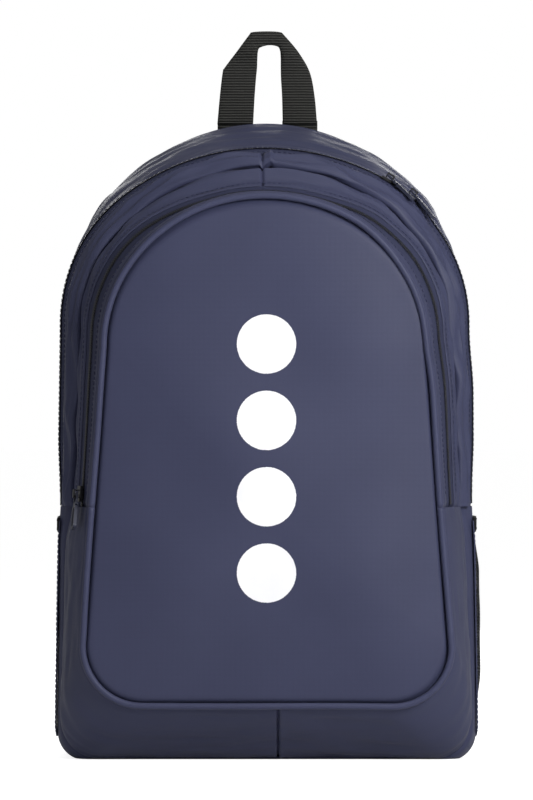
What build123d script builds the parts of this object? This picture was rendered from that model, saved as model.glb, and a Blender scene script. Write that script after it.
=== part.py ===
from build123d import *
import os
from math import cos, radians, sin

# School backpack in millimetres: +Z up, the front faces -Y, +X is the viewer's right.
# The origin is the middle of the flat bottom.
# The shell is a row of closed outlines, one behind the other, joined by straight-ruled fabric bands.

FABRIC = 1.6            # shell fabric with its lining
BOTTOM_FLAT = 230.0     # width of the true flat in the middle of the bottom
ZIP_END = 176.0         # height where both zips stop; above it the front can fold open
FOLD_GAP = 0.15         # half of the gap between the pieces above and below the fold
ZIP_GAP = 0.15          # half of the gap between the two tapes of a zip

FRONT_Y = -80.0         # front edge of the shell, where the piping sits
FRONT_STRIP_Y = -74.0   # front edge of the front zip's tape
FRONT_ZIP_Y = -62.0     # middle of the front zip
FRONT_TAPE_Y = -50.0    # rear edge of the front zip's tape
RIM_Y = -35.0           # seam between the front pocket and the main compartment
MAIN_TAPE_FRONT_Y = -24.0
MAIN_ZIP_Y = -12.0
MAIN_TAPE_REAR_Y = -1.0
BACK_Y = 75.0           # seam between the shell and the back panel

COIL_WIDTH = 2.6        # each half of a zip's coil
COIL_HEIGHT = 1.2       # how far the coil stands out of its tape
PIPING = 4.0            # piping round the front panel, square in section here
PANEL_INSET = 4.2       # front panel's edge inside the piping's outer edge

BACK_SKIN = 2.0         # back panel
PAD_THICKNESS = 5.5     # back pads
PAD_INSET = 20.0        # back pads inside the shell's edge
PAD_CHANNEL = 16.0      # air channel between the back pads
PAD_MIDDLE = 222.0      # height of the middle of the back pads
PAD_HEIGHT = 316.0

POCKET_BULGE = 8.0      # how far a side pocket stands off the shell
POCKET_FABRIC = 1.0
POCKET_BOTTOM = 22.0
POCKET_FULL = 60.0      # height where the pocket reaches its full bulge
POCKET_TOP = 168.0
POCKET_BINDING = 9.0

WEBBING = 25.0          # webbing width
WEBBING_THICK = 1.6
LOOP_Y = 78.2           # middle of the grab loop's webbing
LOOP_BASE = 448.6       # height where the grab loop bends
LOOP_TOP = 512.0

STRAP_Y = 85.5          # front face of the shoulder pads
STRAP_THICK = 11.0
STRAP_TOP = 405.0
STRAP_BOTTOM = 142.0
LOCK_CENTRE = (79.0, 126.0)     # middle of the ladder lock, x and z
LOCK_SIZE = (34.0, 24.0, 4.0)   # width, height, thickness

SLIDER_LENGTH = 11.0
SLIDER_WIDTH = 8.0
SLIDER_PLATE = 1.8
SLIDER_LIFT = 1.7       # underside of the slider above the tape
PIN_HEIGHT = 5.2        # pull's pin above the tape
PIN_RADIUS = 0.6
PULL_LENGTH = 27.0
MAIN_SLIDER_A_ANGLE = 30.5      # on the crown of the arch, from the vertical
MAIN_SLIDER_B_ANGLE = 38.0      # on the right shoulder of the arch, from the vertical
FRONT_SLIDER_Z = 185.0
MAIN_PULL_TURN = -35.0         # the main pulls hang forwards over the rim
MAIN_PULL_DROOP = 12.0
FRONT_PULL_TURN = 25.0         # the front pull hangs down, clear of the lower gusset
FRONT_PULL_DROOP = -8.0


def outline(y, top, crown, angle, spring, foot, bottom, corner):
    """One closed outline of the shell: crown arc, shoulder arcs, slanting legs and bottom corners."""
    return {
        "y": y, "top": top, "crown": crown, "angle": angle,
        "spring": spring, "foot": foot, "bottom": bottom, "corner": corner,
    }


OUTLINES = [
    outline(FRONT_Y, 393.0, 121.0, 40.0, 114.0, 129.0, 37.0, 43.0),
    outline(RIM_Y, 411.0, 150.0, 38.0, 131.0, 140.0, 0.0, 22.0),
    outline(MAIN_TAPE_FRONT_Y, 424.0, 165.0, 35.0, 142.0, 144.0, 0.0, 18.0),
    outline(MAIN_TAPE_REAR_Y, 424.0, 165.0, 35.0, 142.0, 144.0, 0.0, 18.0),
    outline(BACK_Y, 447.0, 138.0, 55.0, 144.5, 145.5, 0.0, 18.0),
]


def outline_at(y, inset=0.0):
    """The outline at depth y, found between its two neighbours, and moved inwards by inset."""
    pair = next((a, b) for a, b in zip(OUTLINES, OUTLINES[1:]) if y <= b["y"] + 1e-9)
    share = (y - pair[0]["y"]) / (pair[1]["y"] - pair[0]["y"])
    o = {key: pair[0][key] + share * (pair[1][key] - pair[0][key]) for key in pair[0]}
    o["top"] -= inset
    o["crown"] -= inset
    o["spring"] -= inset
    o["foot"] -= inset
    o["bottom"] += inset
    o["corner"] -= inset
    return o


def shoulder(o):
    """Centre and radius of the right shoulder arc, which is tangent to the crown and to the vertical."""
    s = sin(radians(o["angle"]))
    radius = (o["spring"] - o["crown"] * s) / (1 - s)
    centre_x = (o["crown"] - radius) * s
    centre_z = o["top"] - o["crown"] + (o["crown"] - radius) * cos(radians(o["angle"]))
    return centre_x, centre_z, radius


def leg_x(o, z):
    """Half-width of the outline at height z on its straight leg."""
    low = o["bottom"] + o["corner"]
    high = shoulder(o)[1]
    return o["foot"] + (o["spring"] - o["foot"]) * (z - low) / (high - low)


def polar(centre_x, centre_z, radius, angle):
    """A point at an angle from the vertical, clockwise as seen from the front."""
    return centre_x + radius * sin(radians(angle)), centre_z + radius * cos(radians(angle))


def line_at(y, a, b):
    return Edge.make_line((a[0], y, a[1]), (b[0], y, b[1]))


def arc_at(y, a, middle, b):
    return Edge.make_three_point_arc((a[0], y, a[1]), (middle[0], y, middle[1]), (b[0], y, b[1]))


def upper_right(o):
    """Edges from the fold up the right leg and over the shoulder to the top of the crown."""
    cut = ZIP_END + FOLD_GAP
    sx, sz, sr = shoulder(o)
    crown_z = o["top"] - o["crown"]
    joint = polar(0, crown_z, o["crown"], o["angle"])
    return [
        line_at(o["y"], (leg_x(o, cut), cut), (o["spring"], sz)),
        arc_at(o["y"], (o["spring"], sz), polar(sx, sz, sr, (90 + o["angle"]) / 2), joint),
        arc_at(o["y"], joint, polar(0, crown_z, o["crown"], o["angle"] / 2), (0, o["top"])),
    ]


def lower_right(o):
    """Edges from the fold down the right leg and round the corner to the middle of the bottom."""
    cut = ZIP_END - FOLD_GAP
    knee = (o["foot"], o["bottom"] + o["corner"])
    toe = (o["foot"] - o["corner"], o["bottom"])
    middle = polar(toe[0], knee[1], o["corner"], 135)
    return [
        line_at(o["y"], (leg_x(o, cut), cut), knee),
        arc_at(o["y"], knee, middle, toe),
        line_at(o["y"], toe, (0, o["bottom"])),
    ]


def both_sides(half):
    """A right-hand run of edges, then the same run mirrored back on the left."""
    return half + [e.mirror(Plane.YZ) for e in reversed(half)]


def band(y_front, y_back, half, whole=True, side=1, outset=0.0, thickness=FABRIC):
    """A strip of the shell between two depths, over the run of edges that `half` gives."""
    wires = []
    between = [o["y"] for o in OUTLINES if y_front < o["y"] < y_back]
    for y in [y_front, *between, y_back]:
        outer = half(outline_at(y, -outset))
        inner = half(outline_at(y, thickness - outset))
        ends = [Edge.make_line(outer[0] @ 0, inner[0] @ 0)]
        if whole:
            outer = both_sides(outer)
            inner = both_sides(inner)
            ends.append(ends[0].mirror(Plane.YZ))
        else:
            ends.append(Edge.make_line(outer[-1] @ 1, inner[-1] @ 1))
        edges = outer + ends + inner
        if side < 0:
            edges = [e.mirror(Plane.YZ) for e in edges]
        wires.append(Wire(edges))
    return Solid.make_loft(wires, ruled=True)


def flat_panel(y, thickness, half, inset):
    """A flat sheet that fills the outline above or below the fold, from y towards the front."""
    edges = both_sides(half(outline_at(y, inset)))
    left_end = edges[-1] @ 0 if abs((edges[-1] @ 0).Z - ZIP_END) < 1 else edges[-1] @ 1
    edges.append(Edge.make_line(edges[0] @ 0, left_end))
    return extrude(Face(Wire(edges)), amount=thickness, dir=(0, -1, 0))


def whole_panel(y, thickness, inset=0.0):
    """A flat sheet that fills the whole outline, from y towards the back."""
    o = outline_at(BACK_Y, inset)
    upper = upper_right(o)
    lower = lower_right(o)
    sides = [Edge.make_line(upper[0] @ 0, lower[0] @ 0)]
    edges = both_sides(sides + upper) + both_sides(lower)
    moved = [e.moved(Location((0, y - BACK_Y, 0))) for e in edges]
    return extrude(Face(Wire(moved)), amount=thickness, dir=(0, 1, 0))


def xz_prism(points, y_front, y_back):
    """A straight-sided plate with corners given in x and z."""
    wire = Polyline([(x, y_front, z) for x, z in points], close=True)
    return extrude(make_face(wire), amount=y_back - y_front, dir=(0, 1, 0))


def ribbon(start, end, y_front, width=WEBBING, thickness=WEBBING_THICK):
    """A straight length of webbing in a plane of constant depth, from start to end in x and z."""
    run = Vector(end[0] - start[0], 0, end[1] - start[1])
    middle = ((start[0] + end[0]) / 2, y_front + thickness / 2, (start[1] + end[1]) / 2)
    plane = Plane(origin=middle, x_dir=run.normalized(), z_dir=(0, 1, 0))
    return plane * Box(run.length, width, thickness)


def side_pocket(z_levels, thickness):
    """A pocket wall on the right side of the shell, sewn along its front, back and bottom edges."""
    wires = []
    for z in z_levels:
        rise = min(1.0, (z - POCKET_BOTTOM) / (POCKET_FULL - POCKET_BOTTOM))
        bulge = 0.3 + thickness + (POCKET_BULGE - thickness) * rise
        outer = []
        inner = []
        for y, stand_off in ((MAIN_TAPE_FRONT_Y, 0.05), (-12, bulge), (54, bulge), (68, 0.05)):
            x = leg_x(outline_at(y), z)
            outer.append((x + max(stand_off, thickness), y, z))
            inner.append((x + max(stand_off - thickness, 0.05), y, z))
        wires.append(Wire(Polyline(outer + inner[::-1], close=True).edges()))
    return Solid.make_loft(wires, ruled=True)


def strap_edge(x_shift):
    """One edge of a right-hand shoulder pad, top to bottom: a bow to the outside."""
    return ThreePointArc(
        (38 + x_shift, STRAP_Y, STRAP_TOP),
        (73 + x_shift, STRAP_Y, 262),
        (78 + x_shift * 0.85, STRAP_Y, STRAP_BOTTOM),
    )


def strap_plate(half_width, y_front, thickness):
    """A plate that follows the right-hand shoulder strap's bow."""
    outer = strap_edge(half_width)
    inner = strap_edge(-half_width)
    ends = [Edge.make_line(outer @ t, inner @ t) for t in (0, 1)]
    plate = extrude(Face(Wire([outer.edge(), inner.edge()] + ends)), amount=thickness, dir=(0, 1, 0))
    return plate.moved(Location((0, y_front - STRAP_Y, 0)))


def strap_pad():
    """Right-hand padded shoulder strap with rounded rims."""
    pad = strap_plate(30, STRAP_Y, STRAP_THICK)
    rims = [e for e in pad.edges() if e.bounding_box().size.Y < 0.01]
    return fillet(rims, 3.5)


def ladder_lock():
    """Right-hand ladder lock: a frame with a fixed bar at the top and a gripping bar in the middle."""
    width, height, thick = LOCK_SIZE
    lock_x, lock_z = LOCK_CENTRE
    plane = Plane(origin=(lock_x, STRAP_Y + 4, lock_z), x_dir=(1, 0, 0), z_dir=(0, -1, 0))
    frame = extrude(RectangleRounded(width, height, 3), amount=thick / 2, both=True)
    slot = extrude(RectangleRounded(WEBBING + 1.5, 4.5, 1), amount=thick, both=True)
    for slot_z in (6.2, -1.2, -7.6):
        frame -= Location((0, slot_z, 0)) * slot
    thumb_lip = Location((0, -height / 2 - 1, thick / 2)) * Box(width * 0.6, 4, 2)
    return plane * (frame + thumb_lip)


def grab_loop():
    """Webbing handle above its sewn ends: two legs that turn into a narrow grip at the top."""
    outer = [(-35, LOOP_BASE), (-31, 484), (-11, LOOP_TOP), (10, LOOP_TOP), (31, 482), (36, LOOP_BASE)]
    inner = [(11.5, LOOP_BASE), (9.5, 494), (0.5, 502.5), (-6, 494), (-9.5, LOOP_BASE)]
    legs = xz_prism(outer + inner, LOOP_Y - WEBBING_THICK / 2, LOOP_Y + WEBBING_THICK / 2)
    grip = Pos(0, LOOP_Y, 507.2) * Box(20, 13, 9)
    return legs + fillet(grip.edges().filter_by(Axis.X), 3.5)


def slider_body():
    """Zip slider along +X with the tape's face at z = 0: a wedge plate and a bridge for the pull."""
    half = SLIDER_LENGTH / 2
    wide = SLIDER_WIDTH / 2
    lower = [(-half, -wide), (half - 3, -wide), (half, -wide * 0.6)]
    upper = [(x, -y) for x, y in reversed(lower)]
    plate = Polyline(lower + upper, close=True)
    body = extrude(make_face(plate), amount=SLIDER_PLATE).moved(Location((0, 0, SLIDER_LIFT)))
    top = SLIDER_LIFT + SLIDER_PLATE
    posts = [Pos(x, 0, top + 1.4) * Box(1.0, 1.8, 3.2) for x in (-2.4, 2.4)]
    beam = Pos(0, 0, top + 3.5) * Box(5.8, 1.8, 1.2)
    return body + posts + beam


def pull_tab():
    """Pull along +X, with its pin at the origin along Y: two arms and a flat tab with a raised rim."""
    pin = Rot(90, 0, 0) * Cylinder(PIN_RADIUS, 7.2)
    arms = [Pos(3.6, y, 0) * Box(8.4, 1.0, 1.2) for y in (-3.1, 3.1)]
    head = Pos(8.2, 0, 0) * Box(2.4, 7.2, 1.6)
    tab_start = 9
    tab_middle = (tab_start + PULL_LENGTH) / 2
    face = RectangleRounded(PULL_LENGTH - tab_start, 7.4, 2.4)
    tab = Pos(tab_middle, 0, 0) * extrude(face, amount=1.1, both=True)
    dish = extrude(RectangleRounded(PULL_LENGTH - 13.5, 4.2, 1.2), amount=0.5)
    for side in (-1, 1):
        tab -= Pos(tab_middle, 0, side * 0.85 - 0.25) * dish
    return pin + arms + head + tab


def arch_frame(centre_x, centre_z, radius, angle):
    """Local frame on the main zip: x along the zip to the right, z outwards."""
    x, z = polar(centre_x, centre_z, radius, angle)
    tangent = (cos(radians(angle)), 0, -sin(radians(angle)))
    outwards = (sin(radians(angle)), 0, cos(radians(angle)))
    return Plane(origin=(x, MAIN_ZIP_Y, z), x_dir=tangent, z_dir=outwards)


def front_zip_frame():
    """Local frame on the left leg of the front zip: x down the zip, z outwards."""
    def on_leg(y, z):
        return Vector(-leg_x(outline_at(y), z), y, z)

    here = on_leg(FRONT_ZIP_Y, FRONT_SLIDER_Z)
    down = on_leg(FRONT_ZIP_Y, FRONT_SLIDER_Z - 10) - here
    back = on_leg(FRONT_ZIP_Y + 5, FRONT_SLIDER_Z) - here
    return Plane(origin=here, x_dir=down.normalized(), z_dir=back.cross(down).normalized())


def mirrored(shape):
    return shape.mirror(Plane.YZ)


def pairs(name, right):
    """The right-hand piece and its mirror image."""
    return {name + "_right": right, name + "_left": mirrored(right)}


def flat_bottom(gusset):
    """Swaps the middle of a lofted gusset's bottom for a true flat sheet, which the bag rests on."""
    depth = BACK_Y - RIM_Y
    middle = Pos(0, (BACK_Y + RIM_Y) / 2, FABRIC / 2)
    sheet = middle * Box(BOTTOM_FLAT, depth, FABRIC)
    return gusset - middle * Box(BOTTOM_FLAT, depth + 2, FABRIC + 1) + sheet


def shell_pieces():
    """Fabric bands, tapes and coils, above and below the fold."""
    tape = {"thickness": 1.0}
    coil = {"outset": COIL_HEIGHT, "thickness": COIL_HEIGHT - 0.05}
    return {
        "rear_gusset": band(MAIN_TAPE_REAR_Y, BACK_Y, upper_right),
        "main_zip_tape_rear": band(MAIN_ZIP_Y + ZIP_GAP, MAIN_TAPE_REAR_Y, upper_right, **tape),
        "main_zip_tape_front": band(MAIN_TAPE_FRONT_Y, MAIN_ZIP_Y - ZIP_GAP, upper_right, **tape),
        "main_zip_coil_rear": band(MAIN_ZIP_Y + ZIP_GAP, MAIN_ZIP_Y + COIL_WIDTH, upper_right, **coil),
        "main_zip_coil_front": band(MAIN_ZIP_Y - COIL_WIDTH, MAIN_ZIP_Y - ZIP_GAP, upper_right, **coil),
        "rim_gusset": band(RIM_Y, MAIN_TAPE_FRONT_Y, upper_right),
        "front_gusset_left": band(FRONT_TAPE_Y, RIM_Y, upper_right, whole=False, side=-1),
        "front_gusset_right": band(FRONT_TAPE_Y, RIM_Y, upper_right, whole=False),
        "front_zip_tape_rear": band(FRONT_ZIP_Y + ZIP_GAP, FRONT_TAPE_Y, upper_right, **tape),
        "front_zip_tape_front": band(FRONT_STRIP_Y, FRONT_ZIP_Y - ZIP_GAP, upper_right, **tape),
        "front_zip_coil_rear": band(FRONT_ZIP_Y + ZIP_GAP, FRONT_ZIP_Y + COIL_WIDTH, upper_right, **coil),
        "front_zip_coil_front": band(FRONT_ZIP_Y - COIL_WIDTH, FRONT_ZIP_Y - ZIP_GAP, upper_right, **coil),
        "front_strip": band(FRONT_Y, FRONT_STRIP_Y, upper_right),
        "main_lower_gusset": flat_bottom(band(RIM_Y, BACK_Y, lower_right)),
        "front_lower_gusset_left": band(FRONT_Y, RIM_Y, lower_right, whole=False, side=-1),
        "front_lower_gusset_right": band(FRONT_Y, RIM_Y, lower_right, whole=False),
    }


def piping_band(half):
    """Piping in front of the shell's edge, with the edge's outline."""
    wires = []
    for y in (FRONT_Y - PIPING, FRONT_Y):
        forward = Location((0, y - FRONT_Y, 0))
        outer = both_sides([e.moved(forward) for e in half(outline_at(FRONT_Y))])
        inner = both_sides([e.moved(forward) for e in half(outline_at(FRONT_Y, PIPING))])
        end = Edge.make_line(outer[0] @ 0, inner[0] @ 0)
        wires.append(Wire(outer + [end, end.mirror(Plane.YZ)] + inner))
    return Solid.make_loft(wires, ruled=True)


def panel_pieces():
    """Front panel and its piping, the divider behind the front pocket, and the inner parts."""
    sleeve_wide = 118
    sleeve_y = 62.0
    sleeve_top = 290.0
    return {
        "front_panel_upper": flat_panel(FRONT_Y, 2.6, upper_right, PANEL_INSET),
        "front_panel_lower": flat_panel(FRONT_Y, 2.6, lower_right, PANEL_INSET),
        "piping_upper": piping_band(upper_right),
        "piping_lower": piping_band(lower_right),
        "divider_upper": flat_panel(RIM_Y + 0.8, 1.6, upper_right, FABRIC + 1.4),
        "divider_lower": flat_panel(RIM_Y + 0.8, 1.6, lower_right, FABRIC + 1.6),
        "base_board": Pos(0, 17, FABRIC + 1.2) * Box(240, 84, 2.0),
        "laptop_sleeve": Pos(0, sleeve_y, (sleeve_top + 6) / 2) * Box(2 * sleeve_wide, 4, sleeve_top - 6),
        "sleeve_binding": Pos(0, sleeve_y, sleeve_top + 5) * Box(2 * sleeve_wide, 5, 10),
    }


def back_pieces():
    """Back panel, back pads, yoke patch and the sewn ends of the grab loop."""
    skin_back = BACK_Y + BACK_SKIN
    pads = whole_panel(skin_back, PAD_THICKNESS, PAD_INSET)
    half_pad = pads & Pos(75 + PAD_CHANNEL / 2, BACK_Y, PAD_MIDDLE) * Box(150, 60, PAD_HEIGHT)
    yoke = Pos(0, skin_back + 0.6, 405) * Box(150, 1.2, 44)
    loop_ends = [
        Pos(x, skin_back + 1.2 + WEBBING_THICK / 2, 426.2) * Box(WEBBING, WEBBING_THICK, 42)
        for x in (-22.3, 23.7)
    ]
    return {
        "back_panel": whole_panel(BACK_Y, BACK_SKIN),
        **pairs("back_pad", half_pad),
        "yoke_patch": yoke,
        "loop_end_left": loop_ends[0],
        "loop_end_right": loop_ends[1],
        "grab_loop": grab_loop(),
    }


def side_pieces():
    """Mesh side pockets and their elastic bindings."""
    hem = POCKET_TOP - POCKET_BINDING
    return {
        **pairs("side_pocket", side_pocket((POCKET_BOTTOM, POCKET_FULL, hem), POCKET_FABRIC)),
        **pairs("pocket_binding", side_pocket((hem, POCKET_TOP), 1.6)),
    }


def strap_pieces():
    """Shoulder straps: pad, webbing, ladder lock, tail, and the lower webbing with its corner tab."""
    behind = STRAP_Y + STRAP_THICK
    lock_x, lock_z = LOCK_CENTRE
    tab = xz_prism([(143, 6), (143, 60), (112, 44), (104, 22)], BACK_Y + BACK_SKIN, STRAP_Y - 2.3)
    return {
        **pairs("shoulder_pad", strap_pad()),
        **pairs("strap_webbing", strap_plate(WEBBING / 2, behind, WEBBING_THICK)),
        **pairs("ladder_lock", ladder_lock()),
        **pairs("webbing_tail", ribbon((lock_x, lock_z - 2), (lock_x + 4, 52), STRAP_Y + 6.4)),
        **pairs("corner_tab", tab),
        **pairs("lower_webbing", ribbon((118, 30), (lock_x + 7, lock_z - 17), STRAP_Y - 2.3)),
    }


def zip_pieces():
    """Sliders and pulls: two on the main zip and one on the front zip."""
    main = outline_at(MAIN_ZIP_Y)
    frames = {
        "main_slider_a": arch_frame(0, main["top"] - main["crown"], main["crown"], MAIN_SLIDER_A_ANGLE),
        "main_slider_b": arch_frame(*shoulder(main), MAIN_SLIDER_B_ANGLE),
        "front_slider": front_zip_frame(),
    }
    pieces = {}
    for name, frame in frames.items():
        front = name == "front_slider"
        turn = FRONT_PULL_TURN if front else MAIN_PULL_TURN
        droop = FRONT_PULL_DROOP if front else MAIN_PULL_DROOP
        pieces[name] = frame * slider_body()
        pin_frame = frame * Pos(0, 0, PIN_HEIGHT) * Rot(0, 0, turn) * Rot(0, droop, 0)
        pieces[name.replace("slider", "pull")] = pin_frame * pull_tab()
    return pieces


pieces = {
    **shell_pieces(), **panel_pieces(), **back_pieces(),
    **side_pieces(), **strap_pieces(), **zip_pieces(),
}
os.makedirs("parts", exist_ok=True)
for name, shape in pieces.items():
    export_step(shape, f"parts/{name}.step")
print(len(pieces), "pieces")
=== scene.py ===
import bmesh
import bpy
import math
import numpy as np
from mathutils import Matrix, Vector, noise


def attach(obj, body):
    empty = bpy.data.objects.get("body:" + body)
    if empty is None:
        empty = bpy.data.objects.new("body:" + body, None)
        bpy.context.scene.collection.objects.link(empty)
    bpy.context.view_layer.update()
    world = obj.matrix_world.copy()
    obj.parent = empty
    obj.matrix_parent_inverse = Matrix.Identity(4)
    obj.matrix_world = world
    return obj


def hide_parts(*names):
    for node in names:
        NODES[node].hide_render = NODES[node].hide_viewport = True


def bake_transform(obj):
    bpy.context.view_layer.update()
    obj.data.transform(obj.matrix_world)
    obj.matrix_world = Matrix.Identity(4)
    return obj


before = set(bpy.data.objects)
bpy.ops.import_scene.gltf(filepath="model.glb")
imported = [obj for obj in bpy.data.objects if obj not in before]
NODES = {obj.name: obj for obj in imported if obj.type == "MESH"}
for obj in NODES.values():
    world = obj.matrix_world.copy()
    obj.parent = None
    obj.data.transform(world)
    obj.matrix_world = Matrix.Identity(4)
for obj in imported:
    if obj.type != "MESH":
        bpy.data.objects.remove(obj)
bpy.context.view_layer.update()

# Lengths are millimetres in the bag's own frame, and become metres in mesh(). Materials and the studio are
# in metres. +x is the right of the bag as seen from the front, +y is its rear and +z its top.
ZIP_END = 176.0         # height of the fold that both flaps turn about
FRONT_Y = -80.0
FRONT_ZIP_Y = -62.0
MAIN_ZIP_Y = -12.0
BACK_Y = 75.0
CLOTH = 0.9             # visible thickness of the shell fabric
CREASE_RUN = 60.0       # length and width of the shell's long creases
CREASE_WIDTH = 6.0

PANEL_Y = -81.6         # edge of the front panel, and how far its middle stands out
PANEL_CROWN = 10.5
PIPING_Y = -82.0
PIPING_RADIUS = 2.35
DIVIDER_Y = -35.6
BACK_FACE_Y = 77.2

POCKET_FRONT = -25.0    # edges of a side pocket, its foot and the middle of its elastic band
POCKET_REAR = 69.0
POCKET_FOOT = 18.0
POCKET_MOUTH = 163.0

WEBBING = 25.0
STRAP_TOP = 405.0       # where the shoulder straps come out of the yoke
STRAP_HALF = 29.5       # from the strap's middle to its edge binding
STRAP_Y = 98.2          # line of the webbing that is sewn on the strap
STITCH_RADIUS = 0.3
STITCH_LIFT = 0.15      # how far a stitch's middle stands off the cloth

COIL_PITCH = 1.75
COIL_SIDES = 6

DISC_RADIUS = 0.0205    # printed discs on the front panel, in metres
DISC_PITCH = 0.0525
DISC_FIRST = 0.131      # height of the lowest disc
DISC_COUNT = 4

SEAM_POINTS = np.array([0.9, 1.7, 2.3, 3.0, 3.7, 4.3, 5.1])     # extra points across a sewn joint

# The shell's outline at five depths: a crown arc, shoulder arcs, straight legs and rounded bottom corners.
OUTLINES = [
    dict(y=-80.0, top=393.0, crown=121.0, angle=40.0, spring=114.0, foot=129.0, bottom=37.0, corner=43.0),
    dict(y=-35.0, top=411.0, crown=150.0, angle=38.0, spring=131.0, foot=140.0, bottom=0.0, corner=22.0),
    dict(y=-24.0, top=424.0, crown=165.0, angle=35.0, spring=142.0, foot=144.0, bottom=0.0, corner=18.0),
    dict(y=-1.0, top=424.0, crown=165.0, angle=35.0, spring=142.0, foot=144.0, bottom=0.0, corner=18.0),
    dict(y=75.0, top=447.0, crown=138.0, angle=55.0, spring=144.5, foot=145.5, bottom=0.0, corner=18.0),
]


# ---------------------------------------------------------------- shapes of the shell

def outline_at(y, inset=0.0):
    """The shell's outline at depth y, moved inwards by inset."""
    y = min(max(y, OUTLINES[0]["y"]), OUTLINES[-1]["y"])
    a, b = next((a, b) for a, b in zip(OUTLINES, OUTLINES[1:]) if y <= b["y"])
    share = (y - a["y"]) / (b["y"] - a["y"])
    o = {key: a[key] + share * (b[key] - a[key]) for key in a}
    for key in ("top", "crown", "spring", "foot", "corner"):
        o[key] -= inset
    o["bottom"] += inset
    return o


def shoulder(o):
    """Centre and radius of the right shoulder arc, tangent to the crown and to the vertical."""
    s = math.sin(math.radians(o["angle"]))
    radius = (o["spring"] - o["crown"] * s) / (1 - s)
    rise = (o["crown"] - radius) * math.cos(math.radians(o["angle"]))
    return (o["crown"] - radius) * s, o["top"] - o["crown"] + rise, radius


def leg_x(o, z):
    """Half-width of the outline at height z on its straight leg."""
    low = o["bottom"] + o["corner"]
    return o["foot"] + (o["spring"] - o["foot"]) * (z - low) / (shoulder(o)[1] - low)


def upper_path(o, steps=36):
    """Points from the left fold over the crown to the right fold, as x and z, closer at the centre seam."""
    sx, sz, sr = shoulder(o)
    a = np.radians(np.linspace(0, o["angle"], steps, endpoint=False))
    a = np.sort(np.concatenate([a, SEAM_POINTS / o["crown"]]))
    b = np.radians(np.linspace(o["angle"], 90, steps, endpoint=False))
    z = np.linspace(sz, ZIP_END, steps + 1)
    x = np.concatenate([o["crown"] * np.sin(a), sx + sr * np.sin(b), leg_x(o, z)])
    z = np.concatenate([o["top"] - o["crown"] + o["crown"] * np.cos(a), sz + sr * np.cos(b), z])
    right = np.stack([x, z], 1)
    return np.vstack([(right * (-1, 1))[:0:-1], right])


def lower_path(o, steps=36):
    """Points from the right fold round the bottom to the left fold."""
    knee_z = o["bottom"] + o["corner"]
    z = np.linspace(ZIP_END, knee_z, steps, endpoint=False)
    a = np.radians(np.linspace(90, 180, steps // 2, endpoint=False))
    toe = o["foot"] - o["corner"]
    t = np.sort(np.concatenate([np.linspace(0, toe, steps + 1), SEAM_POINTS + 5.0]))[::-1]
    x = np.concatenate([leg_x(o, z), toe + o["corner"] * np.sin(a), t])
    z = np.concatenate([z, knee_z + o["corner"] * np.cos(a), np.full(len(t), o["bottom"])])
    right = np.stack([x, z], 1)
    return np.vstack([right, (right * (-1, 1))[-2::-1]])


def whole_path(o, steps=36):
    """The closed outline, clockwise as seen from the front, from the left fold."""
    return np.vstack([upper_path(o, steps), lower_path(o, steps)[1:-1]])


def path_normals(points, closed=False):
    """Outward unit normals of a clockwise path in x and z."""
    if closed:
        tangent = np.roll(points, -1, 0) - np.roll(points, 1, 0)
    else:
        tangent = np.gradient(points, axis=0)
    tangent = unit(tangent)
    return np.stack([-tangent[:, 1], tangent[:, 0]], 1)


def lengths(points):
    """Distance along a run of points."""
    return np.concatenate([[0], np.cumsum(np.linalg.norm(np.diff(points, axis=0), axis=1))])


def smooth(controls, per):
    """A Catmull-Rom curve through the controls, with `per` steps between neighbours."""
    p = np.array(controls, float)
    p = np.vstack([2 * p[0] - p[1], p, 2 * p[-1] - p[-2]])
    out = []
    for i in range(1, len(p) - 2):
        for t in np.arange(per) / per:
            out.append(0.5 * (2 * p[i] + (p[i + 1] - p[i - 1]) * t
                              + (2 * p[i - 1] - 5 * p[i] + 4 * p[i + 1] - p[i + 2]) * t ** 2
                              + (3 * p[i] - p[i - 1] - 3 * p[i + 1] + p[i + 2]) * t ** 3))
    return np.array(out + [p[-2]])


def ease(t):
    """A smooth step from 0 to 1."""
    t = np.clip(t, 0, 1)
    return t * t * (3 - 2 * t)


def unit(vectors):
    """The same vectors with length 1, one in each row."""
    return vectors / np.linalg.norm(vectors, axis=1, keepdims=True)


def at_depth(points, y):
    """Points given as x and z, placed at depth y."""
    return np.stack([points[:, 0], np.full(len(points), float(y)), points[:, 1]], 1)


def facing(line, x, y, z):
    """One direction, repeated for each point of a line."""
    return np.tile((float(x), float(y), float(z)), (len(line), 1))


# ---------------------------------------------------------------- meshes

def add(name, data):
    """A new object in the scene."""
    data.name = name
    obj = bpy.data.objects.new(name, data)
    bpy.context.scene.collection.objects.link(obj)
    return obj


def mesh(name, verts, faces, uvs=None):
    """A new object from points in millimetres. uvs hold one pair for each vertex, in metres."""
    data = bpy.data.meshes.new(name)
    data.from_pydata((np.asarray(verts, float) * 0.001).tolist(), [], [list(f) for f in faces])
    if uvs is not None:
        layer = data.uv_layers.new(name="cloth")
        loop_vert = np.zeros(len(data.loops), int)
        data.loops.foreach_get("vertex_index", loop_vert)
        layer.data.foreach_set("uv", np.asarray(uvs, float)[loop_vert].ravel())
    data.polygons.foreach_set("use_smooth", [True] * len(data.polygons))
    return add(name, data)


def grid_faces(rows, columns, wrap=False):
    """Quads of a grid whose columns may join up."""
    last = columns if wrap else columns - 1
    faces = []
    for r in range(rows - 1):
        for c in range(last):
            d = (c + 1) % columns
            faces.append((r * columns + c, r * columns + d, (r + 1) * columns + d, (r + 1) * columns + c))
    return faces


def bake(obj):
    """Applies every modifier on obj."""
    bpy.context.view_layer.update()
    done = bpy.data.meshes.new_from_object(obj.evaluated_get(bpy.context.evaluated_depsgraph_get()))
    obj.modifiers.clear()
    obj.data = done


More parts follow.
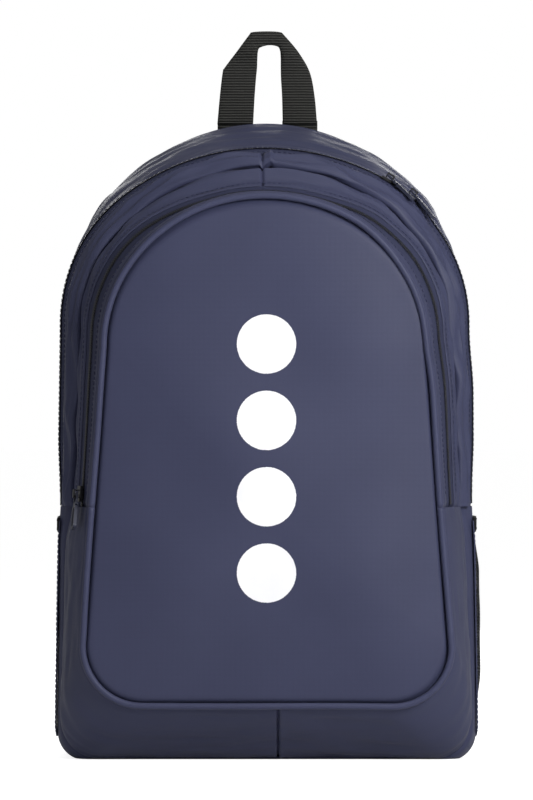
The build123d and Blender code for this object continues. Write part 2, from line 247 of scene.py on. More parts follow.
def solidify(obj, thickness=CLOTH, offset=-1.0):
    """Gives a sheet its thickness, with crisp cut edges."""
    mod = obj.modifiers.new("thickness", "SOLIDIFY")
    mod.thickness = thickness * 0.001
    mod.offset = offset
    bake(obj)
    obj.data.set_sharp_from_angle(angle=math.radians(50))
    return obj


def creases(s, d, seed):
    """Long soft creases that run along s and wander, mostly from -1 to 1."""
    long = noise.noise(Vector((s / CREASE_RUN, d / CREASE_WIDTH, seed)))
    fine = noise.noise(Vector((s / (CREASE_RUN * 0.35), d / (CREASE_WIDTH * 0.6), seed + 7.3)))
    broad = noise.noise(Vector((s / 26.0, d / 34.0, seed + 3.1)))
    ridge = 1 - 3.0 * abs(long)
    return 0.55 * ridge + 0.45 * fine + 0.5 * broad


def bag_sway(x, y, z):
    """How far the sagging shell stands off its outline. All its pieces share this, so their edges meet."""
    sway = 1.1 * noise.noise(Vector((x / 110.0, y / 90.0, z / 120.0 + 4.0)))
    full_side = ease((abs(x) - 60) / 60)
    over_crown = ease((z - 300) / 60) * (1 - ease((abs(x) - 35) / 75))
    behind_piping = ease((y + 79) / 12) * ease((-37 - y) / 14)
    front_foot = ease((ZIP_END - z) / 25) * ease((z + 10) / 50)
    front_foot *= ease((y - FRONT_Y) / 22) * (1 - ease((y + 38) / 22))
    rim = ease((y + 47) / 8) * ease((-26 - y) / 5)
    zip_ridge = ease((y + 24) / 12) * ease((30 - y) / 32) * ease((z - 185) / 40)
    sway += 1.3 * zip_ridge + (3.2 * rim - 6.0 * behind_piping) * over_crown
    puffed_top = ease((y - 2) / 25) * (1 - ease((y - 55) / 20)) * ease((z - 340) / 50)
    right_dip = ease((x - 60) / 40) * ease((z - 255) / 45) * (1 - ease((z - 370) / 20))
    sway += 3.8 * puffed_top
    sway -= 2.5 * right_dip
    return sway + (3.0 - x / 180) * front_foot * full_side


def skin(name, controls, path, seed, steps=4, tuck=1.0, dents=()):
    """A strip of shell fabric. controls are (depth, outset, crease size); path gives the outline's points.
    dents are (x, width, depth of the dent) for seams that cross the strip."""
    section = smooth(controls, steps)
    verts = []
    uvs = []
    run = 0.0
    for k, (y, outset, crease) in enumerate(section):
        points = path(outline_at(y))
        normals = path_normals(points)
        s = lengths(points)
        if k:
            run += math.hypot(y - section[k - 1][0], outset - section[k - 1][1])
        from_end = np.minimum(s, s[-1] - s)
        for i, (x, z) in enumerate(points):
            push = outset + crease * (creases(s[i], y, seed) - 0.45) + bag_sway(x, y, z)
            push -= tuck * (1 - min(from_end[i] / 3.5, 1)) ** 2
            for at, wide, deep in dents:
                push -= deep * math.exp(-((x - at) / wide) ** 2)
            vx = x + normals[i, 0] * push
            vz = z + normals[i, 1] * push
            verts.append((vx, y, max(vz, 0.3)))
            uvs.append((s[i] * 0.001, run * 0.001))
    obj = mesh(name, verts, grid_faces(len(section), len(points)), uvs)
    return solidify(obj)


def half_panel(name, outline, half, depth_of, rings, ripple, seed, to_back=False):
    """The part of a panel above or below the fold, in rings about the middle of the fold."""
    edge = half(outline)
    verts = []
    for r in rings:
        for x, z in edge:
            px = x * r
            pz = ZIP_END + (z - ZIP_END) * r
            wave = noise.noise(Vector((px / 55.0, pz / 70.0, seed))) * (1 - r ** 6)
            pucker = noise.noise(Vector((px / 6.5, pz / 6.5, seed + 2))) * max(0.0, r - 0.82) * (1 - r)
            verts.append((px, depth_of(r, px, pz) + ripple * (wave + 9 * pucker), pz))
    n = len(edge)
    faces = grid_faces(len(rings), n)
    tip = len(verts)
    wave = noise.noise(Vector((0, ZIP_END / 70.0, seed)))
    verts.append((0, depth_of(0, 0, ZIP_END) + ripple * wave, ZIP_END))
    last = (len(rings) - 1) * n
    faces += [(last + c, last + c + 1, tip) for c in range(n - 1)]
    if not to_back:
        faces = [f[::-1] for f in faces]
    uvs = [(v[0] * 0.001, v[2] * 0.001) for v in verts]
    return mesh(name, verts, faces, uvs)


def sweep(name, centres, sides, ups, half_width, half_thick, corners=12, power=4.0, closed=False):
    """A flat strip or cord along centres. sides and ups are the section's two directions at each centre."""
    centres, sides, ups = (np.asarray(a, float) for a in (centres, sides, ups))
    a = np.linspace(0, 2 * math.pi, corners, endpoint=False)
    u = np.sign(np.cos(a)) * np.abs(np.cos(a)) ** (2 / power)
    v = np.sign(np.sin(a)) * np.abs(np.sin(a)) ** (2 / power)
    width = np.broadcast_to(np.asarray(half_width, float), len(centres))
    thick = np.broadcast_to(np.asarray(half_thick, float), len(centres))
    s = lengths(centres)
    verts = []
    uvs = []
    for i, c in enumerate(centres):
        ring = c + np.outer(u * width[i], sides[i]) + np.outer(v * thick[i], ups[i])
        verts += ring.tolist()
        uvs += [(uu * width[i] * 0.001, s[i] * 0.001) for uu in u]
    rows = len(centres)
    faces = grid_faces(rows, corners, wrap=True)
    if closed:
        faces += [((rows - 1) * corners + c, (rows - 1) * corners + (c + 1) % corners,
                   (c + 1) % corners, c) for c in range(corners)]
    else:
        faces += [tuple(range(corners))[::-1], tuple(range((rows - 1) * corners, rows * corners))]
    obj = mesh(name, verts, faces, uvs)
    work = bmesh.new()
    work.from_mesh(obj.data)
    bmesh.ops.recalc_face_normals(work, faces=work.faces)
    work.to_mesh(obj.data)
    work.free()
    return obj


def ribbon(name, points, normals, thick=1.7, per=8):
    """Webbing along a smooth curve through points; normals say which way its face looks."""
    line = smooth(points, per)
    along = unit(np.gradient(line, axis=0))
    side = unit(np.cross(along, smooth(normals, per)))
    return sweep(name, line, side, np.cross(side, along), WEBBING / 2, thick / 2)


def ring_cord(name, y, inset, radius, path, closed=False):
    """A round cord that follows an outline at one depth."""
    points = path(outline_at(y, inset))
    n = path_normals(points, closed)
    sway = [bag_sway(x, y, z) for x, z in points]
    centres = at_depth(points + n * np.array(sway)[:, None], y)
    return sweep(name, centres, at_depth(n, 0), facing(n, 0, 1, 0), radius, radius, power=2.0, closed=closed)


def beads(name, places, along, up, length, sides=5):
    """Many small rounded rods in one mesh: stitches."""
    rings = ((-0.5, 0.3), (-0.3, 1.0), (0.3, 1.0), (0.5, 0.3))      # share of the length, share of the radius
    verts = []
    faces = []
    for p, t, n in zip(places, along, up):
        b = np.cross(t, n)
        start = len(verts)
        for at, r in rings:
            for k in range(sides):
                a = 2 * math.pi * k / sides
                spoke = b * math.cos(a) + n * math.sin(a)
                verts.append(p + t * (at * length) + spoke * (r * STITCH_RADIUS))
        for f in grid_faces(len(rings), sides, wrap=True):
            faces.append(tuple(start + i for i in f))
        faces.append(tuple(start + i for i in range(sides))[::-1])
        faces.append(tuple(start + (len(rings) - 1) * sides + i for i in range(sides)))
    return mesh(name, verts, faces)


def stitches(name, line, normals, spacing=3.6, length=2.6):
    """A row of stitches along a line of points."""
    line, normals = np.asarray(line, float), np.asarray(normals, float)
    s = lengths(line)
    at = np.arange(spacing, s[-1] - spacing / 2, spacing)
    place = np.stack([np.interp(at, s, line[:, k]) for k in range(3)], 1)
    ahead = np.stack([np.interp(at + 0.5, s, line[:, k]) for k in range(3)], 1)
    up = unit(np.stack([np.interp(at, s, normals[:, k]) for k in range(3)], 1))
    return beads(name, place + up * STITCH_LIFT, unit(ahead - place), up, length)


def shell_line(y, outset, path):
    """Points and outward normals along the shell at one depth, short of the fold, for a stitch row."""
    points = path(outline_at(y))
    n = path_normals(points)
    push = np.array([outset + bag_sway(x, y, z) for x, z in points])
    return at_depth(points + n * push[:, None], y)[2:-2], at_depth(n, 0)[2:-2]


def coil(name, zip_y, side, offset):
    """One half of a zip's nylon coil: small loops that reach across the middle of the zip."""
    rings = ((-0.75, 0.25), (-0.35, 0.55), (0.6, 0.62), (1.7, 0.55), (2.5, 0.2))    # reach, radius
    total = lengths(upper_path(outline_at(zip_y)))[-1]
    at = np.arange(COIL_PITCH * (0.5 + offset), total - COIL_PITCH, COIL_PITCH)
    verts = []
    for reach, radius in rings:
        y = zip_y + side * reach
        points = upper_path(outline_at(y))
        n = path_normals(points)
        s = lengths(points) * total / lengths(points)[-1]
        p = np.stack([np.interp(at, s, points[:, k]) for k in range(2)], 1)
        q = np.stack([np.interp(at, s, n[:, k]) for k in range(2)], 1)
        sway = np.array([bag_sway(x, zip_y, z) for x, z in p])
        t = np.stack([q[:, 1], -q[:, 0]], 1)
        for k in range(COIL_SIDES):
            a = 2 * math.pi * k / COIL_SIDES
            v = p + q * (sway + 0.75 + radius * math.sin(a))[:, None] + t * (radius * math.cos(a))
            verts.append(at_depth(v, y))
    block = np.array(verts).transpose(1, 0, 2)
    count, per = block.shape[:2]
    one = grid_faces(len(rings), COIL_SIDES, wrap=True)
    one += [tuple(range(COIL_SIDES))[::-1], tuple(range(per - COIL_SIDES, per))]
    if side < 0:
        one = [f[::-1] for f in one]
    faces = [tuple(i * per + v for v in f) for i in range(count) for f in one]
    return mesh(name, block.reshape(-1, 3), faces)


def mirror(obj, name):
    """A left-hand copy of a right-hand piece."""
    other = add(name, obj.data.copy())
    other.data.transform(Matrix.Scale(-1, 4, (1, 0, 0)))
    other.data.flip_normals()
    return other


# ---------------------------------------------------------------- materials

def srgb(r, g, b):
    """A colour given in display values from 0 to 255, as the linear values that shaders take."""
    shares = [c / 255 for c in (r, g, b)]
    return tuple(((c + 0.055) / 1.055) ** 2.4 if c > 0.04 else c / 12.92 for c in shares) + (1.0,)


class Shader:
    """A material under construction."""

    def __init__(self, name, rough, **sockets):
        self.material = bpy.data.materials.new(name)
        self.material.use_nodes = True
        self.nodes = self.material.node_tree.nodes
        self.links = self.material.node_tree.links
        self.main = self.nodes["Principled BSDF"]
        self.main.inputs["Roughness"].default_value = rough
        for socket, value in sockets.items():
            self.main.inputs[socket.replace("_", " ")].default_value = value

    def node(self, kind, **settings):
        made = self.nodes.new(kind)
        for key, value in settings.items():
            if key in made.inputs:
                self.plug(value, made.inputs[key])
            else:
                setattr(made, key, value)
        return made

    def plug(self, value, socket):
        if isinstance(value, bpy.types.NodeSocket):
            self.links.new(value, socket)
        else:
            socket.default_value = value

    def math(self, operation, a, b=0.0, clamp=False):
        made = self.nodes.new("ShaderNodeMath")
        made.operation = operation
        made.use_clamp = clamp
        self.plug(a, made.inputs[0])
        self.plug(b, made.inputs[1])
        return made.outputs[0]

    def scaled(self, value, gain, plus=0.0):
        """value * gain + plus."""
        return self.math("ADD", self.math("MULTIPLY", value, gain), plus)

    def cloth_axes(self):
        """The cloth's own two directions, in metres."""
        uv = self.node("ShaderNodeUVMap", uv_map="cloth")
        split = self.node("ShaderNodeSeparateXYZ", Vector=uv.outputs[0])
        return split.outputs[0], split.outputs[1]

    def solid_axes(self):
        split = self.node("ShaderNodeSeparateXYZ", Vector=self.node("ShaderNodeTexCoord").outputs["Object"])
        return split.outputs[0], split.outputs[1], split.outputs[2]

    def wave(self, axis, period):
        """A sine ripple from 0 to 1 along one axis, with its period in metres."""
        turned = self.math("SINE", self.math("MULTIPLY", axis, 2 * math.pi / period))
        return self.scaled(turned, 0.5, 0.5)

    def clouds(self, scale, detail=3.0):
        """Soft noise from 0 to 1 over the solid."""
        where = self.node("ShaderNodeTexCoord").outputs["Object"]
        return self.node("ShaderNodeTexNoise", Vector=where, Scale=scale, Detail=detail).outputs[0]

    def mix(self, share, a, b):
        made = self.nodes.new("ShaderNodeMix")
        made.data_type = "RGBA"
        self.plug(share, made.inputs[0])
        self.plug(a, made.inputs[6])
        self.plug(b, made.inputs[7])
        return made.outputs[2]

    def colour(self, value):
        self.plug(value, self.main.inputs["Base Color"])

    def rough(self, value):
        self.plug(value, self.main.inputs["Roughness"])

    def bump(self, height, strength, distance):
        made = self.node("ShaderNodeBump", Height=height, Strength=strength, Distance=distance)
        self.plug(made.outputs[0], self.main.inputs["Normal"])


def plain_weave(shader, pitch):
    """Height of a plain weave from the cloth's two directions."""
    u, v = shader.cloth_axes()
    over = shader.wave(u, pitch)
    under = shader.wave(v, pitch)
    return shader.math("MULTIPLY", over, under)


def navy_cloth(name, light=1.0, discs=False):
    """Satin polyester: deep navy, fine weave and faint colour drift. discs adds the printed column."""
    shader = Shader(name, 0.5, Sheen_Weight=0.03, Sheen_Roughness=0.5, Specular_IOR_Level=0.22)
    dark = tuple(c * light for c in srgb(50, 53, 77)[:3]) + (1.0,)
    pale = tuple(c * light for c in srgb(62, 65, 91)[:3]) + (1.0,)
    weave = plain_weave(shader, 0.00085)
    drift = shader.clouds(14.0, 4.0)
    thread = shader.scaled(drift, 0.75, shader.math("MULTIPLY", weave, 0.3))
    cloth = shader.mix(thread, dark, pale)
    rough = shader.scaled(shader.clouds(60.0), 0.14, 0.43)
    if discs:
        u, v = shader.cloth_axes()
        step = shader.math("SUBTRACT", v, DISC_FIRST)
        row = shader.math("ROUND", shader.math("DIVIDE", step, DISC_PITCH))
        row = shader.math("MINIMUM", shader.math("MAXIMUM", row, 0.0), DISC_COUNT - 1.0)
        rise = shader.math("SUBTRACT", step, shader.math("MULTIPLY", row, DISC_PITCH))
        square = shader.math("ADD", shader.math("POWER", u, 2.0), shader.math("POWER", rise, 2.0))
        away = shader.math("SQRT", square)
        worn = shader.math("MULTIPLY", shader.math("SUBTRACT", shader.clouds(900.0), 0.5), 0.0006)
        edge = shader.math("SUBTRACT", DISC_RADIUS, shader.math("ADD", away, worn))
        ink = shader.math("MULTIPLY", edge, 4000.0, clamp=True)
        print_white = shader.mix(shader.clouds(40.0), srgb(236, 236, 240), srgb(248, 248, 250))
        cloth = shader.mix(ink, cloth, print_white)
        rough = shader.scaled(ink, -0.04, rough)
    shader.colour(cloth)
    shader.rough(rough)
    slub = shader.math("MULTIPLY", shader.clouds(420.0), 0.5)
    shader.bump(shader.math("ADD", weave, slub), 0.22, 0.00022)
    return shader.material


def tape_cloth():
    """Zip tape: dark woven band with a fine herringbone."""
    shader = Shader("zip_tape", 0.7, Specular_IOR_Level=0.15)
    u, v = shader.cloth_axes()
    slant = shader.math("ADD", u, shader.math("PINGPONG", v, 0.0022))
    twill = shader.wave(slant, 0.0011)
    shader.colour(shader.mix(twill, srgb(42, 45, 66), srgb(60, 63, 88)))
    shader.bump(twill, 0.35, 0.0002)
    return shader.material


def coil_plastic():
    """Nylon coil: black with small glossy highlights."""
    shader = Shader("zip_coil", 0.32, Specular_IOR_Level=0.5)
    shader.colour(shader.mix(shader.clouds(300.0), srgb(14, 15, 20), srgb(30, 31, 40)))
    shader.rough(shader.scaled(shader.clouds(500.0), 0.2, 0.22))
    return shader.material


def webbing_cloth():
    """Black polypropylene webbing: cross ribs and faint lengthwise threads, with painted highlights on the rib
    crests.
    """
    shader = Shader("webbing", 0.6, Specular_IOR_Level=0.2)
    u, v = shader.cloth_axes()
    rib = shader.wave(v, 0.0019)
    thread = shader.wave(u, 0.0012)
    height = shader.scaled(thread, 0.12, rib)
    # Painted highlight: the rib crests are coloured pale and the troughs near black, as light and shade on the
    # ribs.
    shade = shader.scaled(rib, 0.85, shader.math("MULTIPLY", shader.clouds(500.0), 0.15))
    shader.colour(shader.mix(shade, srgb(7, 7, 8), srgb(60, 60, 57)))
    shader.bump(height, 0.9, 0.0006)
    return shader.material


def mesh_cloth(name, hole, open_share, base):
    """Net fabric: a honeycomb of threads, painted lighter than the holes. open_share lets light through the
    holes, and 0 keeps them dark, as painted shade.
    """
    shader = Shader(name, 0.7, Specular_IOR_Level=0.2)
    u, v = shader.cloth_axes()
    where = shader.node("ShaderNodeCombineXYZ", X=u, Y=v)
    cell = shader.node("ShaderNodeTexVoronoi", Vector=where.outputs[0], Scale=1 / hole, Randomness=0.12)
    cell.feature = "DISTANCE_TO_EDGE"
    thread = shader.math("SUBTRACT", 1.0, shader.math("MULTIPLY", cell.outputs["Distance"], 5.0, clamp=True))
    # Painted light: the threads take a lit copy of the base colour, and the holes keep the darker base as
    # painted shade.
    lit = tuple(min(255, c * 2 + 16) for c in base)
    shader.colour(shader.mix(thread, srgb(*base), srgb(*lit)))
    shader.bump(thread, 0.9, 0.0005)
    if open_share:
        thick = shader.math("MULTIPLY", thread, 2.0, clamp=True)
        solid = shader.math("ADD", thick, 1 - open_share, clamp=True)
        shader.plug(solid, shader.main.inputs["Alpha"])
    return shader.material


def moulded(name, base, rough, gloss, grain):
    """Moulded plastic, rubber or lacquered metal with a fine grain and slight wear."""
    shader = Shader(name, rough, Specular_IOR_Level=gloss)
    worn = tuple(min(255, c + 16) for c in base)
    shader.colour(shader.mix(shader.clouds(120.0, 5.0), srgb(*base), srgb(*worn)))
    shader.rough(shader.scaled(shader.clouds(250.0), 0.18, rough - 0.09))
    shader.bump(shader.clouds(grain), 0.12, 0.0001)
    return shader.material


def plain_cloth(name, dark, pale, pitch=0.001):
    """Dull woven cloth for lining, binding and thread."""
    shader = Shader(name, 0.8, Specular_IOR_Level=0.15)
    x, y, z = shader.solid_axes()
    weave = shader.math("MULTIPLY", shader.wave(shader.math("ADD", x, y), pitch), shader.wave(z, pitch))
    shade = shader.scaled(weave, 0.5, shader.math("MULTIPLY", shader.clouds(50.0), 0.5))
    shader.colour(shader.mix(shade, srgb(*dark), srgb(*pale)))
    shader.bump(weave, 0.35, 0.0002)
    return shader.material


NAVY = navy_cloth("navy_satin")
NAVY_PANEL = navy_cloth("navy_panel_print", discs=True)
NAVY_PIPING = navy_cloth("navy_piping", light=1.08)
TAPE = tape_cloth()
COIL = coil_plastic()
BLACK_WEBBING = webbing_cloth()
POCKET_NET = mesh_cloth("pocket_net", 0.0021, 0.55, (12, 12, 14))
BACK_MESH = mesh_cloth("back_air_mesh", 0.0032, 0.0, (20, 20, 24))
BINDING = plain_cloth("binding", (12, 12, 14), (34, 34, 38))
LINING = plain_cloth("lining", (38, 40, 46), (58, 60, 68))
THREAD = plain_cloth("navy_thread", (40, 43, 66), (74, 77, 104), 0.0005)
BLACK_THREAD = plain_cloth("black_thread", (16, 16, 18), (50, 50, 54), 0.0005)
BUCKLE = moulded("buckle_acetal", (16, 16, 18), 0.38, 0.5, 900.0)
BOARD = moulded("board_plastic", (60, 60, 62), 0.55, 0.4, 600.0)
SLIDER = moulded("slider_lacquer", (12, 12, 15), 0.3, 0.55, 300.0)
PULL = moulded("pull_rubber", (34, 37, 54), 0.45, 0.3, 800.0)


def place(obj, body, slot, material, replaces=()):
    """Gives a piece its material and makes it move with its body. slot is not used."""
    obj.data.materials.clear()
    obj.data.materials.append(material)
    if body:
        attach(obj, body)
    if replaces:
        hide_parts(*replaces)
    return obj


def as_sheet(obj):
    """Reads a sewn panel's cloth coordinates and does nothing with them."""
    uv = np.zeros(len(obj.data.loops) * 2)
    obj.data.uv_layers[0].data.foreach_get("uv", uv)


# ---------------------------------------------------------------- shell

def blend_lower(obj):
    """Bakes a lower piece's placement into its mesh."""
    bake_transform(obj)


def blend_front(obj):
    """Bakes an upper front piece's placement into its mesh."""
    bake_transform(obj)


def make_strip(name, body, nodes, controls, path, seed, **shape):
    """One strip of the shell: zip tape, or navy fabric."""
    strip = skin(name, controls, path, seed, **shape)
    if "tape" in name:
        return place(strip, body, "zip_tape", TAPE, nodes)
    as_sheet(place(strip, body, "navy_fabric", NAVY, nodes))
    return strip


def make_shell():
    """The gussets and zip tapes, from the front strip to the back panel, then the two lower gussets."""
    strip = make_strip("front_strip_cloth", None, ["front_strip"],
                       [(-80.4, -1.6, 0), (-79, 0.5, 0.2), (-77, 1.1, 0.4), (-74.5, 1.2, 0.3), (-73, 1.0, 0.1),
                        (-72.6, 0.2, 0)], upper_path, 1.0)
    blend_front(strip)
    tape = make_strip("front_tape_front_cloth", None, ["front_zip_tape_front"],
                      [(-74.5, -0.2, 0), (-68, 0.1, 0.15), (-62.5, 0.2, 0)], upper_path, 2.0)
    blend_front(tape)
    make_strip("front_tape_rear_cloth", "main_flap", ["front_zip_tape_rear"],
               [(-61.5, 0.2, 0), (-56, 0.1, 0.15), (-49.5, -0.2, 0)], upper_path, 3.0)
    make_strip("front_gusset_cloth", "main_flap", ["front_gusset_left", "front_gusset_right"],
               [(-51.6, 0.2, 0), (-51.2, 1.1, 0.2), (-48, 1.6, 1.4), (-44, 1.8, 2.6),
                (-40.5, 0.8, 3.0), (-37, -1.6, 2.0), (-34, -4.2, 0.8), (-31.4, -6.0, 0.2)],
               upper_path, 5.0, steps=6, dents=[(-3.0, 0.9, 2.4)])
    make_strip("rim_gusset_cloth", "main_flap", ["rim_gusset"],
               [(-31.0, -5.6, 0.2), (-34.5, -3.4, 0.6), (-37.8, 0.2, 1.8), (-38.4, 3.4, 2.8),
                (-36.0, 5.4, 3.0),
                (-32, 4.8, 2.8), (-28, 2.4, 2.0), (-25.4, 0.3, 0.8), (-23.6, -0.8, 0.1), (-22.6, -1.6, 0)],
               upper_path, 8.0, steps=6, dents=[(-3.0, 1.1, 2.8), (2.6, 1.8, -1.8)])
    make_strip("main_tape_front_cloth", "main_flap", ["main_zip_tape_front"],
               [(-24, -2.6, 0), (-18, -0.9, 0.15), (-12.5, 0.2, 0)], upper_path, 9.0)
    make_strip("main_tape_rear_cloth", "bag", ["main_zip_tape_rear"],
               [(-11.5, 0.2, 0), (-6, 0.1, 0.15), (0, -0.2, 0)], upper_path, 10.0)
    make_strip("rear_gusset_cloth", "bag", ["rear_gusset"],
               [(-2.6, 0.2, 0), (-2.2, 1.1, 0.1), (2, 1.2, 0.5), (12, 0.9, 1.4),
                (30, 0.6, 1.8), (50, 0.2, 1.8), (66, -0.6, 1.0), (74.6, -2.0, 0.2)], upper_path, 12.0, steps=6)
    low = make_strip("front_lower_cloth", None, ["front_lower_gusset_left", "front_lower_gusset_right"],
                     [(-80.4, -1.6, 0), (-79, 0.6, 0.2), (-74, 1.8, 0.9), (-60, 2.6, 1.3), (-46, 2.4, 1.4),
                      (-38.5, 0.8, 0.8), (-35.4, -1.6, 0.3)],
                     lower_path, 15.0, steps=6, tuck=0.2, dents=[(8.0, 0.8, 2.6), (10.4, 1.4, -0.9)])
    blend_lower(low)
    low = make_strip("main_lower_cloth", None, ["main_lower_gusset"],
                     [(-34.9, -1.8, 0.2), (-32, 0.8, 0.5), (-24, 0.9, 0.4), (0, 0.8, 0.4), (35, 0.8, 0.4),
                      (66, 0.7, 0.4), (74.6, -0.6, 0.2)], lower_path, 18.0, steps=6, tuck=0.2)
    blend_lower(low)


def make_panels():
    """The front panel with its piping, the divider and the back panel, each above and below the fold."""
    rings = [1, 0.992, 0.982, 0.968, 0.95, 0.925, 0.89, 0.84, 0.78, 0.71, 0.63, 0.54, 0.44, 0.33, 0.21, 0.09]

    def crown(r, x, z):
        tucked = 3.0 * (1 - ease((1 - r) / 0.022))
        dent = 3.4 * noise.noise(Vector((x / 80.0, z / 100.0, 2.6))) * (1 - r ** 4)
        return PANEL_Y - PANEL_CROWN * (1 - r ** 2.0) + tucked + dent

    for label, half in (("upper", upper_path), ("lower", lower_path)):
        panel = half_panel(f"front_panel_{label}_cloth", outline_at(FRONT_Y, 3.8), half,
                           crown, rings, 0.8, 21.0)
        as_sheet(place(solidify(panel), None, "printed_panel", NAVY_PANEL, [f"front_panel_{label}"]))
        cord = ring_cord(f"piping_{label}_cord", PIPING_Y, 1.7, PIPING_RADIUS, half)
        place(cord, None, "piping", NAVY_PIPING, [f"piping_{label}"])
        divider = half_panel(f"divider_{label}_cloth", outline_at(-36.0, 8.4), half,
                             lambda r, x, z: DIVIDER_Y + 1.2 * (1 - r * r), rings[::2], 1.6, 31.0)
        as_sheet(place(solidify(divider, 1.2), None, "lining", LINING, [f"divider_{label}"]))
        if label == "upper":
            blend_front(panel)
            blend_front(cord)
            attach(divider, "main_flap")
        else:
            for piece in (panel, cord, divider):
                blend_lower(piece)

        back = half_panel(f"back_panel_{label}_cloth", outline_at(BACK_Y, 2.4), half,
                          lambda r, x, z: BACK_FACE_Y - 1.6 * r ** 8, rings, 0.7, 41.0, to_back=True)
        place(solidify(back, 1.6), "bag", "navy_fabric", NAVY, ["back_panel"])
        as_sheet(back)
    edge = ring_cord("back_edge_binding", 75.6, 2.2, 2.0, whole_path, closed=True)
    place(edge, "bag", "navy_fabric", NAVY_PIPING)


def make_zips():
    """Both zips' teeth."""
    for label, zip_y, front_body, rear_body in (("main", MAIN_ZIP_Y, "main_flap", "bag"),
                                                ("front", FRONT_ZIP_Y, None, "main_flap")):
        front = coil(f"{label}_coil_front_teeth", zip_y, -1, 0.0)
        rear = coil(f"{label}_coil_rear_teeth", zip_y, 1, 0.5)
        place(front, front_body, "zip_coil", COIL, [f"{label}_zip_coil_front"])
        place(rear, rear_body, "zip_coil", COIL, [f"{label}_zip_coil_rear"])
        if front_body is None:
            blend_front(front)


def make_seams():
    """Stitch rows along the gussets' edges."""
    rows = [("strip_seam", -74.6, 1.2, None), ("front_gusset_seam", -49.4, 1.4, "main_flap"),
            ("rim_seam_row", -24.9, 0.1, "main_flap"), ("rear_seam_row", 0.0, 1.4, "bag")]
    for name, y, outset, body in rows:
        row = stitches(name, *shell_line(y, outset, upper_path))
        place(row, body, "navy_fabric", THREAD)
        if body is None:
            blend_front(row)


# ---------------------------------------------------------------- side pockets

def pocket_x(y, z, bulge):
    """Distance of a side pocket from the bag's middle: bulged, and drawn in by its elastic mouth."""
    edge = ease((y - POCKET_FRONT) / 14.0) * ease((POCKET_REAR - y) / 16.0)
    rise = ease((z - 22.0) / 40.0) * (1 - 0.85 * ease((z - 128.0) / 28.0))
    ruffle = 0.6 * math.sin(y / 1.15) * ease((z - 120) / 40.0) * edge
    sag = 0.8 * noise.noise(Vector((y / 22.0, z / 30.0, bulge)))
    leg = leg_x(outline_at(y), z)
    shell = leg + max(0.0, bag_sway(leg, y, z))
    return shell + 1.3 + bulge * edge * rise + sag * edge + ruffle


def make_pocket(side, bulge):
    """A net pocket with its elastic band, the edging that is sewn round it, and their stitch rows."""
    sign = 1 if side == "right" else -1

    def on_pocket(places, lift):
        return np.array([(sign * (pocket_x(y, z, bulge) + lift), y, z) for y, z in places])

    depths = np.linspace(POCKET_FRONT, POCKET_REAR, 95)
    heights = np.linspace(POCKET_FOOT, POCKET_MOUTH - 2, 60)
    places = [(y, z) for z in heights for y in depths]
    uvs = [(y * 0.001, z * 0.001) for y, z in places]
    faces = grid_faces(len(heights), len(depths))
    if side == "left":
        faces = [f[::-1] for f in faces]
    net = solidify(mesh(f"side_pocket_{side}_net", on_pocket(places, 0.0), faces, uvs), 0.6)
    as_sheet(place(net, "bag", "pocket_mesh", POCKET_NET, [f"side_pocket_{side}"]))

    line = on_pocket([(y, POCKET_MOUTH) for y in depths], 0.4)
    rise = facing(line, 0, 0, 1)
    across = np.cross(unit(np.gradient(line, axis=0)), rise)
    band = sweep(f"pocket_binding_{side}_band", line, rise, across, 5.2, 1.0)
    place(band, "bag", "binding", BINDING, [f"pocket_binding_{side}"])

    seam = smooth([(-25, 166), (-25, 110), (-25, 50), (-24, 26), (-17, 18.5), (20, 18), (61, 18.5), (68, 26),
                   (69, 50), (69, 110), (69, 166)], 8)
    line = on_pocket(seam, 0.3)
    out = facing(line, sign, 0, 0)
    across = np.cross(out, unit(np.gradient(line, axis=0)))
    edging = sweep(f"pocket_edging_{side}", line, across, out, 2.9, 0.5)
    place(edging, "bag", "navy_fabric", NAVY_PIPING)
    row = stitches(f"pocket_edging_stitch_{side}", line + out * 0.5, out)
    place(row, "bag", "navy_fabric", THREAD)
    for label, z in (("upper", POCKET_MOUTH + 3.2), ("lower", POCKET_MOUTH - 3.2)):
        points = on_pocket([(y, z) for y in depths], 1.3)
        out = facing(points, sign, 0, 0)
        row = stitches(f"pocket_hem_{label}_{side}", points, out, spacing=3.2, length=2.2)
        place(row, "bag", "binding", BLACK_THREAD)


def make_pockets():
    """The right pocket stands open a little, and the left one lies flat."""
    make_pocket("right", 4.0)
    make_pocket("left", 0.6)


# ---------------------------------------------------------------- padded pieces

def soft_copy(name, node, voxel, cap):
    """A padded piece from a CAD solid: remeshed, rounded, and swollen by a cloth simulation, by up to cap."""
    obj = add(name, NODES[node].data.copy())
    remesh = obj.modifiers.new("remesh", "REMESH")
    remesh.mode = "VOXEL"
    remesh.voxel_size = voxel * 0.001
    relax = obj.modifiers.new("relax", "SMOOTH")
    relax.iterations = 6
    bake(obj)
    start = positions(obj)
    cloth = obj.modifiers.new("swell", "CLOTH")
    cloth.settings.use_pressure = True
    cloth.settings.uniform_pressure_force = 4.0
    cloth.settings.effector_weights.gravity = 0.0
    cloth.settings.quality = 6
    for step in range(1, 21):
        bpy.context.scene.frame_set(step)
    bake(obj)
    bpy.context.scene.frame_set(1)
    moved = positions(obj) - start
    moved -= moved.mean(0)
    far = np.linalg.norm(moved, axis=1, keepdims=True)
    moved *= np.minimum(1, cap * 0.001 / np.maximum(far, 1e-9))
    obj.data.vertices.foreach_set("co", (start + moved).ravel())
    divide = obj.modifiers.new("divide", "SUBSURF")
    divide.levels = divide.render_levels = 1
    bake(obj)
    obj.data.polygons.foreach_set("use_smooth", [True] * len(obj.data.polygons))
    return obj


def positions(obj):
    """The mesh's points in metres, one in each row."""
    co = np.zeros(len(obj.data.vertices) * 3)
    obj.data.vertices.foreach_get("co", co)
    return co.reshape(-1, 3)


